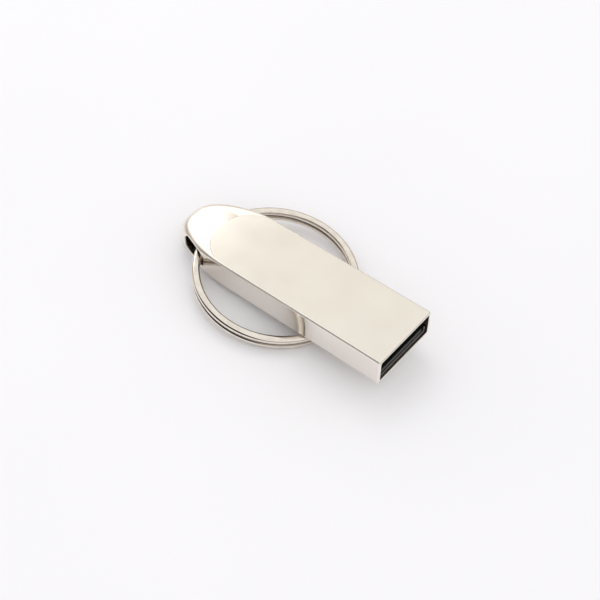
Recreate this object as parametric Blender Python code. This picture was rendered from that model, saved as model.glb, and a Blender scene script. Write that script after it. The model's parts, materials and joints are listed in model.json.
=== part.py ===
"""A compact USB flash drive: a one-piece metal case that is also the plug's shell, with a split
key ring through the eyelet in its tapered tail, and the memory board in a plastic tray inside.

The case is modelled in its own frame: +X towards the plug's mouth, +Z up, with the origin under
the middle of its belly. It then stands as the object lies on a table, with the ring folded
under the belly: the tail's tip and the front of the ring touch the table, and the mouth is
lifted a little.
"""

import math

import bmesh
import bpy
from mathutils import Matrix, Vector
from mathutils.bvhtree import BVHTree

MM = 0.001

# The case: a USB type A plug is 12.0 mm wide and 4.5 mm high.
LENGTH = 40.1 * MM
WIDTH = 12.0 * MM
HEIGHT = 4.5 * MM
WALL = 0.4 * MM
EDGE_ROUND = 0.3 * MM
MOUTH_CORNER = 0.3 * MM
MOUTH_X = 19.9 * MM
TIP_X = MOUTH_X - LENGTH

# The tail's outline narrows from the full width to a blunt tip, and its top slopes down to the
# tip. Its rims grow rounder on the way, until the tip is nearly a half round.
NOSE_LENGTH = 11.3 * MM
NOSE_SHOULDER = 2.1
NOSE_BLUNTNESS = 0.38
NOSE_STEPS = 16
TIP_TOP_ROUND = 2.0 * MM
TIP_BELLY_ROUND = 1.9 * MM
ROUND_GROWTH = 1.2
ROUND_STEPS = 5
SLOPE_LENGTH = 5.0 * MM
SLOPE_DROP = 0.4 * MM

# The hollow that the board slides into, open at the mouth.
HOLLOW_END_X = -10.5 * MM
HOLLOW_CORNER = 0.25 * MM

# The eyelet: a slot right through the tail, from side to side, with rounded lips.
EYELET_REAR_X = -17.45 * MM
EYELET_FRONT_X = -12.65 * MM
EYELET_LOW_Z = 0.55 * MM
EYELET_HIGH_Z = 3.65 * MM
EYELET_CORNER = 1.1 * MM
EYELET_CORNER_STEPS = 5
EYELET_LIP = 0.45 * MM
EYELET_LIP_STEPS = 3

# The split ring: two turns of flat wire, one over the other, which change places at one ramp.
RING_OUTER_R = 12.5 * MM
WIRE_WIDTH = 1.25 * MM
WIRE_HEIGHT = 0.95 * MM
WIRE_ROUND = 0.3 * MM
WIRE_ROUND_STEPS = 2
TURN_GAP = 0.04 * MM
RAMP_ANGLE = math.radians(26)
END_GAP_ANGLE = math.radians(2)
RING_STEPS = 150
RING_INNER_R = RING_OUTER_R - WIRE_WIDTH
RING_MIDDLE_R = RING_OUTER_R - WIRE_WIDTH / 2
RING_HEIGHT = 2 * WIRE_HEIGHT + TURN_GAP

# The ring swings about this line across the eyelet. The wire bends round the line, so the line
# runs a little inside the wire's own middle. The loose ring lies a little to the left.
SWING_X = -14.85 * MM
SWING_Z = (EYELET_LOW_Z + EYELET_HIGH_Z) / 2
SWING_INSET = 0.48 * MM
RING_SIDE_SHIFT = 0.4 * MM
BELLY_GAP = 0.05 * MM

# The tray and the board in it, both open to the mouth.
FIT_GAP = 0.05 * MM
TRAY_REAR_X = -10.2 * MM
TRAY_FRONT_X = 19.5 * MM
TRAY_WIDTH = 10.9 * MM
TRAY_FLOOR = 0.42 * MM
TRAY_RAIL = 0.3 * MM
TRAY_STEP_X = 7.6 * MM
TRAY_LOW_TOP_Z = 1.68 * MM
TRAY_HIGH_TOP_Z = 3.2 * MM
REAR_WALL = 0.8 * MM
BOARD_THICKNESS = 0.8 * MM
BOARD_FRONT_X = 19.4 * MM
SOLDER_GAP = 0.02 * MM

# The four contacts: type A pads, 1 mm wide, with the outer two longer than the inner two.
CONTACT_WIDTH = 1.0 * MM
CONTACT_THICKNESS = 0.05 * MM
CONTACT_REAR_X = 10.6 * MM
OUTER_CONTACT_FRONT_X = 18.4 * MM
INNER_CONTACT_FRONT_X = 17.4 * MM
OUTER_CONTACT_Y = 3.5 * MM
INNER_CONTACT_Y = 1.0 * MM

CHIP_EDGE = 0.08 * MM
FLASH_SIZE = (8.6 * MM, 9.4 * MM, 1.0 * MM)
FLASH_X = -4.4 * MM
CONTROLLER_SIZE = (4.6 * MM, 4.6 * MM, 0.85 * MM)
CONTROLLER_X = 3.4 * MM
CRYSTAL_SIZE = (2.5 * MM, 2.0 * MM, 0.6 * MM)
CRYSTAL_PLACE = (3.2 * MM, 3.9 * MM)
CAPACITOR_SIZE = (0.8 * MM, 1.6 * MM, 0.8 * MM)
CAPACITOR_X = 7.6 * MM
CAPACITOR_PITCH = 1.9 * MM
CAPACITORS = 5
RESISTOR_SIZE = (1.0 * MM, 0.5 * MM, 0.35 * MM)
RESISTOR_Y = -3.9 * MM
RESISTOR_REAR_X = 1.6 * MM
RESISTOR_PITCH = 1.25 * MM
RESISTORS = 4
CHIP_EDGE_SMALL = 0.04 * MM


def clear_scene():
    for obj in list(bpy.data.objects):
        bpy.data.objects.remove(obj, do_unlink=True)


def make_material(name, color, roughness, metallic):
    material = bpy.data.materials.new(name)
    material.use_nodes = True
    shader = material.node_tree.nodes["Principled BSDF"]
    shader.inputs["Base Color"].default_value = (*color, 1.0)
    shader.inputs["Roughness"].default_value = roughness
    shader.inputs["Metallic"].default_value = metallic
    material.diffuse_color = (*color, 1.0)
    return material


def add_object(name, mesh, material, parent):
    """Puts a mesh into the scene under its parent, with its outside facing out."""
    graph = bmesh.new()
    graph.from_mesh(mesh)
    bmesh.ops.recalc_face_normals(graph, faces=graph.faces)
    graph.to_mesh(mesh)
    graph.free()
    if material:
        mesh.materials.append(material)
    obj = bpy.data.objects.new(name, mesh)
    bpy.context.scene.collection.objects.link(obj)
    obj.parent = parent
    return obj


def add_empty(name, location, pitch, parent=None):
    """An empty whose +X end points up by pitch."""
    empty = bpy.data.objects.new(name, None)
    bpy.context.scene.collection.objects.link(empty)
    empty.location = location
    empty.rotation_euler = (0.0, -pitch, 0.0)
    empty.parent = parent
    return empty


def smooth(obj, angle=math.radians(30)):
    obj.data.shade_smooth()
    obj.data.set_sharp_from_angle(angle=angle)


def loft(name, rings):
    """A mesh from equal rings of points, each joined to the next, with a cap at both ends."""
    graph = bmesh.new()
    loops = [[graph.verts.new(point) for point in ring] for ring in rings]
    count = len(loops[0])
    for low, high in zip(loops, loops[1:]):
        for i in range(count):
            j = (i + 1) % count
            graph.faces.new((low[i], low[j], high[j], high[i]))
    graph.faces.new(loops[0][::-1])
    graph.faces.new(loops[-1])
    mesh = bpy.data.meshes.new(name)
    graph.to_mesh(mesh)
    graph.free()
    return mesh


def box_mesh(name, low, high, bevel=0.0):
    """A box between two corners, with all its edges cut by the bevel."""
    graph = bmesh.new()
    bmesh.ops.create_cube(graph, size=1.0)
    size = [b - a for a, b in zip(low, high)]
    middle = [(a + b) / 2 for a, b in zip(low, high)]
    bmesh.ops.scale(graph, vec=size, verts=graph.verts)
    bmesh.ops.translate(graph, vec=middle, verts=graph.verts)
    if bevel:
        bmesh.ops.bevel(graph, geom=graph.edges, offset=bevel, segments=1, affect="EDGES")
    mesh = bpy.data.meshes.new(name)
    graph.to_mesh(mesh)
    graph.free()
    return mesh


def arc(center, radius, start, end, steps):
    """Points on an arc in a plane, from the start angle to the end angle."""
    points = []
    for i in range(steps + 1):
        angle = start + (end - start) * i / steps
        points.append((center[0] + radius * math.cos(angle), center[1] + radius * math.sin(angle)))
    return points


def rounded_rectangle(low, high, radius, steps):
    """Points round a rectangle with round corners, counterclockwise."""
    corners = [
        (high[0] - radius, low[1] + radius, -math.pi / 2),
        (high[0] - radius, high[1] - radius, 0.0),
        (low[0] + radius, high[1] - radius, math.pi / 2),
        (low[0] + radius, low[1] + radius, math.pi),
    ]
    points = []
    for x, y, start in corners:
        points += arc((x, y), radius, start, start + math.pi / 2, steps)
    return points


def cut(obj, cutter):
    """Cuts a helper's shape out of an object. The helper stays in the file, unrendered."""
    cutter.hide_render = True
    cutter.display_type = "WIRE"
    modifier = obj.modifiers.new("Cut " + cutter.name, "BOOLEAN")
    modifier.operation = "DIFFERENCE"
    modifier.solver = "EXACT"
    modifier.object = cutter


# The case


def nose_share(x):
    """How far x is along the tail, from 0 at its shoulder to 1 at the tip."""
    return min(max((TIP_X + NOSE_LENGTH - x) / NOSE_LENGTH, 0.0), 1.0)


def nose_half_width(x):
    """Half the tail's width at x, from the full width at its shoulder to nothing at the tip."""
    return WIDTH / 2 * (1.0 - nose_share(x) ** NOSE_SHOULDER) ** NOSE_BLUNTNESS


def rim_round(x, at_tip):
    """The rim's rounding at x, which grows from the plug's to the tip's own."""
    return EDGE_ROUND + (at_tip - EDGE_ROUND) * nose_share(x) ** ROUND_GROWTH


def nose_xs():
    """The tail's stations from its shoulder to just before the tip, closer together at the tip."""
    shoulder = TIP_X + NOSE_LENGTH
    return [
        shoulder - NOSE_LENGTH * math.sin(math.pi / 2 * i / NOSE_STEPS) for i in range(NOSE_STEPS)
    ]


def case_outline():
    """The case's plan, counterclockwise from the mouth's corner on the -Y side."""
    half = WIDTH / 2
    inner_x = MOUTH_X - MOUTH_CORNER
    inner_y = half - MOUTH_CORNER
    near_corner = arc((inner_x, -inner_y), MOUTH_CORNER, -math.pi / 2, 0.0, 3)
    far_corner = arc((inner_x, inner_y), MOUTH_CORNER, 0.0, math.pi / 2, 3)
    far_side = [(x, nose_half_width(x)) for x in nose_xs()]
    near_side = [(x, -y) for x, y in reversed(far_side)]
    return near_corner + far_corner + far_side + [(TIP_X, 0.0)] + near_side


def inset(outline, distances):
    """The outline moved inwards by a distance at each point, measured square to it."""
    moved = []
    count = len(outline)
    for i, point in enumerate(outline):
        before = Vector(outline[i - 1])
        after = Vector(outline[(i + 1) % count])
        here = Vector(point)
        inward_before = Matrix.Rotation(math.pi / 2, 2) @ (here - before).normalized()
        inward_after = Matrix.Rotation(math.pi / 2, 2) @ (after - here).normalized()
        inward = (inward_before + inward_after).normalized()
        moved.append(here + inward * distances[i] / inward.dot(inward_after))
    return moved


def slope_edge_x(y):
    """Where the flat top ends and the tail's slope begins: half an ellipse across the case."""
    reach = max(1.0 - (y / (WIDTH / 2 - EDGE_ROUND)) ** 2, 0.0)
    return TIP_X + NOSE_LENGTH - SLOPE_LENGTH * math.sqrt(reach)


def rim_drop(x, y):
    """How far the tail's rim lies below the flat top, by its distance behind the slope's edge."""
    behind = max(slope_edge_x(y) - x, 0.0)
    return SLOPE_DROP * behind / (NOSE_LENGTH - SLOPE_LENGTH)


def case_mesh():
    """The case's outer shape: round-edged walls, a flat belly and top, and the sloping tail."""
    outline = case_outline()
    angles = [math.pi / 2 * i / ROUND_STEPS for i in range(ROUND_STEPS + 1)]
    rings = []
    low_rounds = [rim_round(x, TIP_BELLY_ROUND) for x, _ in outline]
    for angle in reversed(angles):
        points = inset(outline, [r * (1 - math.cos(angle)) for r in low_rounds])
        rises = [r * (1 - math.sin(angle)) for r in low_rounds]
        rings.append([(p[0], p[1], rise) for p, rise in zip(points, rises)])
    high_rounds = [rim_round(x, TIP_TOP_ROUND) for x, _ in outline]
    rims = [rim_drop(p[0], p[1]) for p in inset(outline, high_rounds)]
    for angle in angles:
        points = inset(outline, [r * (1 - math.cos(angle)) for r in high_rounds])
        drops = [r * (1 - math.sin(angle)) + rim for r, rim in zip(high_rounds, rims)]
        rings.append([(p[0], p[1], HEIGHT - drop) for p, drop in zip(points, drops)])

    graph = bmesh.new()
    loops = [[graph.verts.new(point) for point in ring] for ring in rings]
    count = len(outline)
    for low, high in zip(loops, loops[1:]):
        for i in range(count):
            j = (i + 1) % count
            graph.faces.new((low[i], low[j], high[j], high[i]))
    graph.faces.new(loops[0][::-1])

    # The slope runs from the rim's sunken stretch to the half ellipse where the flat top ends.
    top = loops[-1]
    sunken = [i for i in range(count) if rings[-1][i][2] < HEIGHT - 1e-9]
    first = sunken[0] - 1
    last = sunken[-1] + 1
    edge = {first: top[first], last: top[last]}
    for i in sunken:
        y = rings[-1][i][1] * (WIDTH / 2 - EDGE_ROUND) / max(abs(rings[-1][first][1]), 1e-9)
        edge[i] = graph.verts.new((slope_edge_x(y), y, HEIGHT))
    for i in range(first, last):
        corners = [top[i], top[i + 1], edge[i + 1], edge[i]]
        graph.faces.new(list(dict.fromkeys(corners)))
    flat = top[:first] + [edge[i] for i in range(first, last + 1)] + top[last + 1 :]
    graph.faces.new(flat)

    mesh = bpy.data.meshes.new("metal_case")
    graph.to_mesh(mesh)
    graph.free()
    return mesh


def add_hollow(parent):
    """The cutter for the case's hollow, which runs out past the mouth."""
    half = WIDTH / 2 - WALL
    section = rounded_rectangle((-half, WALL), (half, HEIGHT - WALL), HOLLOW_CORNER, 3)
    ends = (HOLLOW_END_X, MOUTH_X + 1 * MM)
    rings = [[(x, y, z) for y, z in section] for x in ends]
    return add_object("hollow_cutter", loft("hollow_cutter", rings), None, parent)


def eyelet_section(grown):
    """The eyelet's outline from the side, grown by a distance all round."""
    low = (EYELET_REAR_X - grown, EYELET_LOW_Z - grown)
    high = (EYELET_FRONT_X + grown, EYELET_HIGH_Z + grown)
    return rounded_rectangle(low, high, EYELET_CORNER + grown, EYELET_CORNER_STEPS)


def add_eyelet(parent, case_shape):
    """The cutter for the eyelet. Its lips follow the tail's walls, and it runs out past them."""
    shape = bmesh.new()
    shape.from_mesh(case_shape)
    walls = BVHTree.FromBMesh(shape)
    shape.free()
    outside = [(x, WIDTH, z) for x, z in eyelet_section(EYELET_LIP)]
    far_rings = [outside]
    for i in range(EYELET_LIP_STEPS + 1):
        angle = math.pi / 2 * (1 - i / EYELET_LIP_STEPS)
        depth = EYELET_LIP * (1 - math.sin(angle))
        ring = []
        for x, z in eyelet_section(EYELET_LIP * (1 - math.cos(angle))):
            wall = walls.ray_cast(Vector((x, WIDTH, z)), Vector((0, -1, 0)))[0]
            ring.append((x, wall.y - depth, z))
        far_rings.append(ring)
    near_rings = [[(x, -y, z) for x, y, z in ring] for ring in reversed(far_rings)]
    return add_object("eyelet_cutter", loft("eyelet_cutter", far_rings + near_rings), None, parent)


def add_case(parent, material):
    case = add_object("metal_case", case_mesh(), material, parent)
    cut(case, add_hollow(parent))
    cut(case, add_eyelet(parent, case.data))
    smooth(case)
    return case


# The ring


def ring_level(angle):
    """How high the wire's middle lies along its two turns: low, up the ramp, then high."""
    step = (WIRE_HEIGHT + TURN_GAP) / 2
    climbed = (angle - (2 * math.pi - RAMP_ANGLE)) / RAMP_ANGLE
    share = min(max(climbed, 0.0), 1.0)
    return step * (2 * (3 * share**2 - 2 * share**3) - 1)


def ring_mesh():
    """The split ring about its own middle, with its ramp and wire ends at +X."""
    half_width = WIRE_WIDTH / 2
    half_height = WIRE_HEIGHT / 2
    section = rounded_rectangle(
        (-half_width, -half_height), (half_width, half_height), WIRE_ROUND, WIRE_ROUND_STEPS
    )
    length = 4 * math.pi - RAMP_ANGLE - 2 * END_GAP_ANGLE
    rings = []
    for i in range(RING_STEPS + 1):
        along = END_GAP_ANGLE + length * i / RING_STEPS
        turn = along + RAMP_ANGLE / 2
        level = ring_level(along)
        ring = []
        for out, up in section:
            radius = RING_MIDDLE_R + out
            ring.append((radius * math.cos(turn), radius * math.sin(turn), level + up))
        rings.append(ring)
    return loft("key_ring", rings)


def ring_droop():
    """How far the ring's free side hangs below the case's +X when its top meets the belly."""
    across = WIDTH / 2 + RING_SIDE_SHIFT
    reach = RING_MIDDLE_R - SWING_INSET + math.sqrt(RING_INNER_R**2 - across**2)
    half_height = RING_HEIGHT / 2
    drop = SWING_Z + BELLY_GAP
    return math.asin(drop / math.hypot(reach, half_height)) + math.atan2(half_height, reach)


def case_pitch():
    """How far the mouth is lifted, with the tail's tip and the ring's front on the table."""
    droop = ring_droop()
    reach = RING_MIDDLE_R - SWING_INSET + RING_OUTER_R - WIRE_ROUND
    front_x = SWING_X + reach * math.cos(droop) - RING_HEIGHT / 2 * math.sin(droop)
    front_z = SWING_Z - reach * math.sin(droop) - RING_HEIGHT / 2 * math.cos(droop)
    tip_x = TIP_X + TIP_BELLY_ROUND
    return math.atan2(-front_z, front_x - tip_x)


def add_ring(swing, material):
    ring = add_object("key_ring", ring_mesh(), material, swing)
    ring.location = (RING_MIDDLE_R - SWING_INSET, RING_SIDE_SHIFT, 0.0)
    smooth(ring)
    return ring


# The board and what is on it


def tray_floor_z():
    return WALL + FIT_GAP


def board_low_z():
    return tray_floor_z() + TRAY_FLOOR + SOLDER_GAP


def board_top_z():
    return board_low_z() + BOARD_THICKNESS


def add_tray(parent, material):
    """The black tray: a floor with a rail down each side, taller behind the plug's free space."""
    half = TRAY_WIDTH / 2
    side = [
        (TRAY_REAR_X, tray_floor_z()),
        (TRAY_FRONT_X, tray_floor_z()),
        (TRAY_FRONT_X, TRAY_LOW_TOP_Z),
        (TRAY_STEP_X + 0.6 * MM, TRAY_LOW_TOP_Z),
        (TRAY_STEP_X, TRAY_HIGH_TOP_Z),
        (TRAY_REAR_X, TRAY_HIGH_TOP_Z),
    ]
    rings = [[(x, y, z) for x, z in side] for y in (-half, half)]
    tray = add_object("plastic_tray", loft("plastic_tray", rings), material, parent)
    low = (TRAY_REAR_X + REAR_WALL, -half + TRAY_RAIL, tray_floor_z() + TRAY_FLOOR)
    high = (TRAY_FRONT_X + 1 * MM, half - TRAY_RAIL, TRAY_HIGH_TOP_Z + 1 * MM)
    cut(tray, add_object("tray_cutter", box_mesh("tray_cutter", low, high), None, parent))
    return tray


def add_board(parent, material):
    half = TRAY_WIDTH / 2 - TRAY_RAIL - FIT_GAP
    low = (TRAY_REAR_X + REAR_WALL + FIT_GAP, -half, board_low_z())
    high = (BOARD_FRONT_X, half, board_top_z())
    return add_object("circuit_board", box_mesh("circuit_board", low, high), material, parent)


def add_contacts(parent, material):
    """Power, the two data lines and ground, across the front of the board."""
    places = {
        "contact_power": (-OUTER_CONTACT_Y, OUTER_CONTACT_FRONT_X),
        "contact_data_minus": (-INNER_CONTACT_Y, INNER_CONTACT_FRONT_X),
        "contact_data_plus": (INNER_CONTACT_Y, INNER_CONTACT_FRONT_X),
        "contact_ground": (OUTER_CONTACT_Y, OUTER_CONTACT_FRONT_X),
    }
    low_z = board_top_z() + SOLDER_GAP
    for name, (y, front_x) in places.items():
        low = (CONTACT_REAR_X, y - CONTACT_WIDTH / 2, low_z)
        high = (front_x, y + CONTACT_WIDTH / 2, low_z + CONTACT_THICKNESS)
        add_object(name, box_mesh(name, low, high), material, parent)


def add_chip(name, place, size, edge, parent, material):
    """A part standing on the board, with its middle at place."""
    x, y = place
    low_z = board_top_z() + SOLDER_GAP
    low = (x - size[0] / 2, y - size[1] / 2, low_z)
    high = (x + size[0] / 2, y + size[1] / 2, low_z + size[2])
    add_object(name, box_mesh(name, low, high, edge), material, parent)


def add_components(parent, resin, can, ceramic, resistor_body):
    add_chip("flash_chip", (FLASH_X, 0.0), FLASH_SIZE, CHIP_EDGE, parent, resin)
    add_chip("controller_chip", (CONTROLLER_X, 0.0), CONTROLLER_SIZE, CHIP_EDGE, parent, resin)
    add_chip("crystal", CRYSTAL_PLACE, CRYSTAL_SIZE, CHIP_EDGE, parent, can)
    for i in range(CAPACITORS):
        y = (i - (CAPACITORS - 1) / 2) * CAPACITOR_PITCH
        name = f"capacitor_{i + 1}"
        add_chip(name, (CAPACITOR_X, y), CAPACITOR_SIZE, CHIP_EDGE_SMALL, parent, ceramic)
    for i in range(RESISTORS):
        x = RESISTOR_REAR_X + i * RESISTOR_PITCH
        name = f"resistor_{i + 1}"
        add_chip(name, (x, RESISTOR_Y), RESISTOR_SIZE, CHIP_EDGE_SMALL, parent, resistor_body)


def stand_on_table(root):
    """Moves the whole drive so that it touches z = 0 and its bounding box is centred on x = y = 0."""
    bpy.context.view_layer.update()
    graph = bpy.context.evaluated_depsgraph_get()
    points = []
    for obj in bpy.context.scene.objects:
        if obj.type != "MESH" or obj.hide_render:
            continue
        shown = obj.evaluated_get(graph)
        points += [shown.matrix_world @ vertex.co for vertex in shown.data.vertices]
    low = [min(point[i] for point in points) for i in range(3)]
    high = [max(point[i] for point in points) for i in range(3)]
    root.location = (-(low[0] + high[0]) / 2, -(low[1] + high[1]) / 2, -low[2])


def main():
    clear_scene()
    nickel = make_material("satin_nickel", (0.78, 0.74, 0.70), 0.32, 1.0)
    polished = make_material("polished_nickel", (0.82, 0.78, 0.74), 0.12, 1.0)
    black_plastic = make_material("black_plastic", (0.02, 0.02, 0.022), 0.5, 0.0)
    board_green = make_material("board", (0.03, 0.09, 0.06), 0.4, 0.0)
    gold = make_material("gold", (0.83, 0.63, 0.30), 0.25, 1.0)
    resin = make_material("black_resin", (0.025, 0.025, 0.028), 0.45, 0.0)
    can = make_material("crystal_can", (0.70, 0.69, 0.66), 0.3, 1.0)
    ceramic = make_material("capacitor_ceramic", (0.42, 0.28, 0.17), 0.5, 0.0)
    resistor_body = make_material("resistor_black", (0.03, 0.03, 0.03), 0.4, 0.0)

    drive = add_empty("drive", (0.0, 0.0, 0.0), case_pitch())
    swing = add_empty("ring_swing", (SWING_X, 0.0, SWING_Z), -ring_droop(), drive)

    add_case(drive, nickel)
    add_ring(swing, polished)
    add_tray(drive, black_plastic)
    add_board(drive, board_green)
    add_contacts(drive, gold)
    add_components(drive, resin, can, ceramic, resistor_body)
    stand_on_table(drive)


main()
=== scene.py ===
# %% [markdown]
# # A metal flash drive with a split key ring
#
# This lesson dresses a finished CAD model. The drive is a drawn metal case, closed at
# the tail and open at the mouth, with a printed circuit board in a plastic tray inside.
# A split ring of flat wire hangs in an eyelet through the tail. The CAD parts give every
# size and place. The cells below build finer meshes over them, give each a finish, and
# set up a floor, soft light and a camera.

# %% Load the CAD frame
import json
import math

import bmesh
import bpy
from mathutils import Matrix, Vector
from mathutils.bvhtree import BVHTree


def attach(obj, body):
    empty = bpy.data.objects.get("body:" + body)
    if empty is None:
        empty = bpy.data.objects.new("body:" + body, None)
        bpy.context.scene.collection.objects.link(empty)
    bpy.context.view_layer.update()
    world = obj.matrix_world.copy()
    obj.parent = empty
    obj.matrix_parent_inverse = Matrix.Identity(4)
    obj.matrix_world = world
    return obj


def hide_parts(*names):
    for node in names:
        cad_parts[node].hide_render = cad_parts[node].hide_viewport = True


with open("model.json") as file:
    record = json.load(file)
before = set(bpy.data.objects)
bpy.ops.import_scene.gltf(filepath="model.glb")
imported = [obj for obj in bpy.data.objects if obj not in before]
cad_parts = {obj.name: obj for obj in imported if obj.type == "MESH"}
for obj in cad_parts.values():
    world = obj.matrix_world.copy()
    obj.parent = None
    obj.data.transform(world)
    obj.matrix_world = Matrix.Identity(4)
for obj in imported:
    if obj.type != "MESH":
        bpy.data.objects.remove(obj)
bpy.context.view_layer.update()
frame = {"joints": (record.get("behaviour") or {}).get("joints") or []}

# %% [markdown]
# The drive rests with its ring folded under the belly, so the case isn't level: the mouth
# is lifted by about five degrees and the ring tips down by about three and a half. It is
# far easier to model a case that lies square to the axes, so two matrices carry each
# finished mesh from its own square frame to its place. Both start from the record's hinge.

# %% The case's and the ring's own frames
MM = 0.001
CASE_PITCH = math.radians(5.174900311982014)
RING_TIP = math.radians(8.66023401880296) - CASE_PITCH
SWING_IN_CASE = Vector((-14.85, 0.0, 2.1)) * MM
RING_FROM_SWING = Vector((11.395, 0.4, 0.0)) * MM

swing = Vector(frame["joints"][0]["pos_m"])
case_turn = Matrix.Rotation(-CASE_PITCH, 4, "Y")
ring_turn = Matrix.Rotation(RING_TIP, 4, "Y")
case_place = Matrix.Translation(swing - case_turn @ SWING_IN_CASE) @ case_turn
ring_place = Matrix.Translation(swing + ring_turn @ RING_FROM_SWING) @ ring_turn
print("case origin", [round(v / MM, 3) for v in case_place.translation], "mm")
print("ring centre", [round(v / MM, 3) for v in ring_place.translation], "mm")

# %% [markdown]
# A product shot of a small thing looks down at it from close by with a long lens. The
# camera here is 16 cm away, about fifty degrees above the table, with a 66 mm lens, and
# rolled a little to the left. The up direction is tilted by the roll, and the three axes
# of the camera are written straight into its matrix.

# %% Camera
CAMERA_AT = Vector((57.23, -84.0, 126.96)) * MM
CAMERA_AIM = Vector((1.49, -0.125, 0.06)) * MM
CAMERA_ROLL = math.radians(7.35)
CAMERA_LENS = 66.0

lens = bpy.data.cameras.new("camera")
lens.lens = CAMERA_LENS
lens.clip_start = 0.005
lens.clip_end = 50.0
camera = bpy.data.objects.new("camera", lens)
bpy.context.scene.collection.objects.link(camera)
forward = (CAMERA_AIM - CAMERA_AT).normalized()
level_right = forward.cross(Vector((0, 0, 1))).normalized()
level_up = level_right.cross(forward)
up = math.cos(CAMERA_ROLL) * level_up - math.sin(CAMERA_ROLL) * level_right
right = forward.cross(up)
axes = Matrix((right, up, -forward)).transposed().to_4x4()
camera.matrix_world = Matrix.Translation(CAMERA_AT) @ axes
bpy.context.scene.camera = camera
bpy.context.scene.view_settings.view_transform = "Standard"
print("camera distance", round((CAMERA_AIM - CAMERA_AT).length / MM, 1), "mm")

# %% [markdown]
# Every finish and some of the shapes are made with nodes. A few helpers keep them short: a
# node with its inputs, one Math node, and a colour ramp.

# %% Node helpers


def add_node(tree, kind, inputs=None, **settings):
    """A new node with its settings. Each input takes a value or another node's socket."""
    node = tree.nodes.new(kind)
    for name, value in settings.items():
        setattr(node, name, value)
    for key, value in (inputs or {}).items():
        if isinstance(value, bpy.types.NodeSocket):
            tree.links.new(value, node.inputs[key])
        else:
            node.inputs[key].default_value = value
    return node


def compute(tree, operation, *operands):
    """One Math node. Each operand is a number or a socket."""
    inputs = dict(enumerate(operands))
    return add_node(tree, "ShaderNodeMath", inputs, operation=operation).outputs[0]


def add_ramp(tree, share, stops, interpolation="LINEAR"):
    """The colour from a ramp with stops of (position, colour)."""
    node = add_node(tree, "ShaderNodeValToRGB", {"Fac": share})
    node.color_ramp.interpolation = interpolation
    elements = node.color_ramp.elements
    while len(elements) < len(stops):
        elements.new(0.5)
    for element, (position, color) in zip(elements, stops):
        element.position = position
        element.color = (*color, 1.0)
    return node.outputs["Color"]


# %% [markdown]
# Polished metal shows its surroundings, so the light is half of the finish. The world
# answers each kind of ray with a colour of its own. The camera sees a plain backdrop.
# Reflections see a dome, dark at the horizon, peach half way up and pale overhead, with one
# dark corner that draws the dark lines along rounded edges. Other rays get an even fill.
# An overhead softbox throws the soft shadows and is left out of reflections. A panel
# behind the tail is seen only in reflections, and whitens the tail's top.

# %% Studio
DOME = (
    (0.00, (0.150, 0.105, 0.080)),
    (0.22, (0.370, 0.295, 0.240)),
    (0.45, (0.720, 0.670, 0.615)),
    (0.66, (0.965, 0.960, 0.905)),
    (1.00, (0.930, 0.930, 0.930)),
)
DARK_CORNER = (0.030, 0.022, 0.017, 1.0)
DARK_TOWARDS = Vector((-0.28, -0.93, 0.14)).normalized()
DARK_START = 0.60
DARK_FULL = 0.80
FILL_COLOR = (0.962, 0.950, 0.954, 1.0)
BACKDROP_COLOR = (0.90, 0.90, 0.91, 1.0)

world = bpy.data.worlds.new("studio")
world.use_nodes = True
bpy.context.scene.world = world
studio = world.node_tree
studio.nodes.clear()
towards = add_node(studio, "ShaderNodeTexCoord").outputs["Generated"]
height = add_node(studio, "ShaderNodeSeparateXYZ", {0: towards}).outputs["Z"]
facing = add_node(
    studio, "ShaderNodeVectorMath", {0: towards, 1: DARK_TOWARDS}, operation="DOT_PRODUCT"
)
darkness = add_node(
    studio,
    "ShaderNodeMapRange",
    {"Value": facing.outputs["Value"], "From Min": DARK_START, "From Max": DARK_FULL},
    interpolation_type="SMOOTHSTEP",
)
room = add_node(
    studio,
    "ShaderNodeMix",
    {0: darkness.outputs["Result"], 6: add_ramp(studio, height, DOME, "EASE"), 7: DARK_CORNER},
    data_type="RGBA",
)
reflected, even, backdrop = [
    add_node(studio, "ShaderNodeBackground", {"Color": color}).outputs[0]
    for color in (room.outputs[2], FILL_COLOR, BACKDROP_COLOR)
]
rays = add_node(studio, "ShaderNodeLightPath").outputs
lit = add_node(studio, "ShaderNodeMixShader", {0: rays["Is Glossy Ray"], 1: even, 2: reflected})
pick = add_node(
    studio, "ShaderNodeMixShader", {0: rays["Is Camera Ray"], 1: lit.outputs[0], 2: backdrop}
)
add_node(studio, "ShaderNodeOutputWorld", {"Surface": pick.outputs[0]})

OVERHEAD_TOWARDS = Vector((-0.45, 0.30, 0.84)).normalized()
OVERHEAD_SIZE = 0.34
OVERHEAD_RADIANCE = 1.25
OVERHEAD_COLOR = (1.0, 0.985, 0.99)
PANEL_TOWARDS = Vector((-0.513, 0.521, 0.679)).normalized()
PANEL_EDGE = Vector((-0.583, 0.5085, 0.632)).normalized()
PANEL_INWARD = Vector((-0.78, 0.04, -0.62))
PANEL_SIZE = 0.40
PANEL_RADIANCE = 1.2
PANEL_COLOR = (1.0, 0.985, 0.96)
PANEL_SHIFT = 0.10
LIGHT_DISTANCE = 0.60


def add_panel(name, middle, across, away, size, radiance, color):
    """A square light of a radiance, facing along -away, with one pair of sides along across."""
    light = bpy.data.lights.new(name, "AREA")
    light.shape = "SQUARE"
    light.size = size
    light.energy = radiance * math.pi * size**2
    light.color = color
    lamp = bpy.data.objects.new(name, light)
    bpy.context.scene.collection.objects.link(lamp)
    side = (across - across.dot(away) * away).normalized()
    turned = Matrix((side, away.cross(side), away)).transposed().to_4x4()
    lamp.matrix_world = Matrix.Translation(middle) @ turned
    print(name, round(light.energy, 3), "W")
    return lamp


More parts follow.
